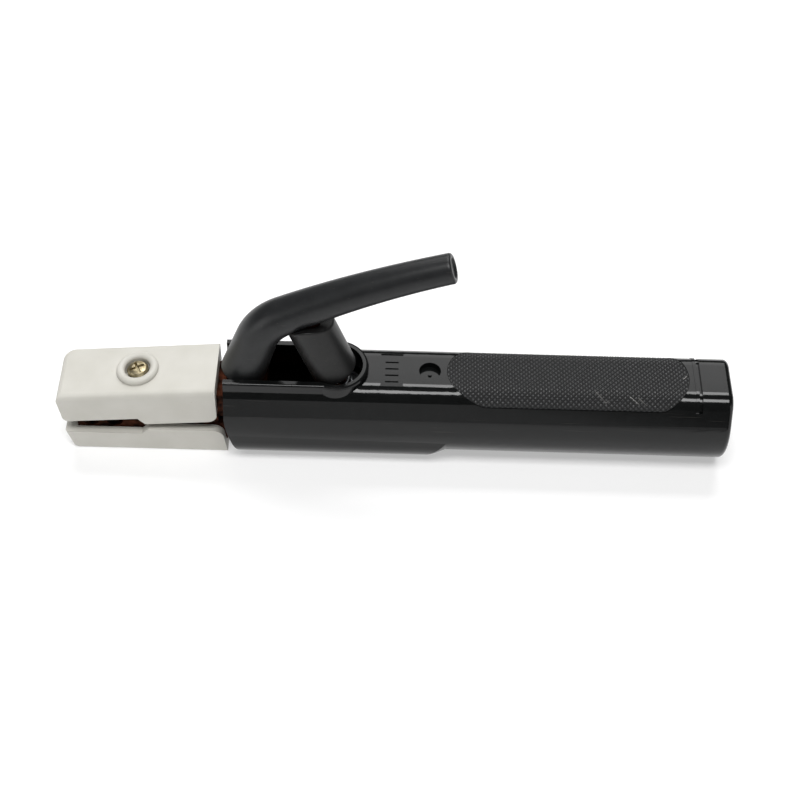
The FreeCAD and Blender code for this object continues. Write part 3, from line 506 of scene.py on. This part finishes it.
# ---- studio -------------------------------------------------------------------------------------
FLOOR_HALF = 3.0
FLOOR_TONE = 0.60
FLOOR_GLOW = 0.40


def floor():
    """A white acrylic table top, lit a little from below, far larger than the view."""
    half = FLOOR_HALF
    mesh = bpy.data.meshes.new("floor")
    mesh.from_pydata([(-half, -half, 0), (half, -half, 0), (half, half, 0), (-half, half, 0)], [],
                     [(0, 1, 2, 3)])
    made, _, shader, _ = new_material("white_acrylic_table")
    shader.inputs["Base Color"].default_value = (FLOOR_TONE, FLOOR_TONE, FLOOR_TONE, 1)
    shader.inputs["Roughness"].default_value = 0.9
    shader.inputs["Specular IOR Level"].default_value = 0.1
    shader.inputs["Emission Color"].default_value = (1, 1, 1, 1)
    shader.inputs["Emission Strength"].default_value = FLOOR_GLOW
    mesh.materials.append(made)
    put("floor", mesh)


def softbox(name, lean, distance, across, along, radiance, sideways=0.0):
    """A rectangular softbox over the holder, leaned from the vertical towards the camera's side and
    sideways towards +X, both in degrees. Distance, across and along are in metres: across is its size
    in the direction of that lean, along is its size in X. Radiance is its brightness."""
    light = bpy.data.lights.new(name, "AREA")
    light.shape = "RECTANGLE"
    light.size = along
    light.size_y = across
    light.energy = radiance * math.pi * along * across
    lamp = put(name, light)
    lean = math.radians(lean)
    side = math.radians(sideways)
    towards = Vector((math.sin(side), -math.sin(lean) * math.cos(side), math.cos(lean) * math.cos(side)))
    lamp.location = towards.normalized() * distance
    lamp.rotation_euler = (-towards).to_track_quat("-Z", "Y").to_euler()
    lamp.visible_camera = False


def studio():
    """Two strip softboxes, one just behind the top and one in front, a broad dim panel behind, two fills
    far to the sides, which light the ends and the covers' sides but show in no long face, and a low card
    that shows only in the steep flanks."""
    softbox("back_strip", lean=-26.0, distance=1.15, across=0.24, along=0.85, radiance=9.5)
    softbox("front_strip", lean=18.0, distance=1.15, across=0.32, along=0.85, radiance=12.0)
    softbox("back_panel", lean=-52.0, distance=1.5, across=0.75, along=1.3, radiance=2.5)
    softbox("left_fill", lean=62.0, distance=1.3, across=0.7, along=0.6, radiance=2.2, sideways=-58.0)
    softbox("right_fill", lean=62.0, distance=1.3, across=0.7, along=0.6, radiance=1.2, sideways=58.0)
    softbox("low_card", lean=86.5, distance=1.5, across=0.14, along=1.3, radiance=0.62)
    world = bpy.data.worlds.new("studio")
    bpy.context.scene.world = world
    world.use_nodes = True
    sky = world.node_tree.nodes["Background"]
    sky.inputs["Color"].default_value = (1, 1, 1, 1)
    sky.inputs["Strength"].default_value = 0.08


def camera():
    """Looks down on the holder from the jaws' open side, nearly square on and rolled a little."""
    look = Vector((2.3, 0.0, 18.6)) * MM
    distance = 603 * MM
    pitch, yaw, roll = (math.radians(a) for a in (50.6, 0.84, 2.22))
    ahead = Vector((math.sin(yaw) * math.cos(pitch), math.cos(yaw) * math.cos(pitch), -math.sin(pitch)))
    level = Vector((math.cos(yaw), -math.sin(yaw), 0.0))
    up = level.cross(ahead)
    right = math.cos(roll) * level + math.sin(roll) * up
    above = math.cos(roll) * up - math.sin(roll) * level
    lens = bpy.data.cameras.new("camera")
    lens.sensor_width = 36.0
    lens.lens = 71.7
    lens.clip_start = 0.01
    eye = put("camera", lens)
    turn = Matrix((right, above, -ahead)).transposed().to_4x4()
    eye.matrix_world = Matrix.Translation(look - ahead * distance) @ turn
    bpy.context.scene.camera = eye


floor()
studio()
camera()
bpy.context.scene.view_settings.view_transform = "Standard"
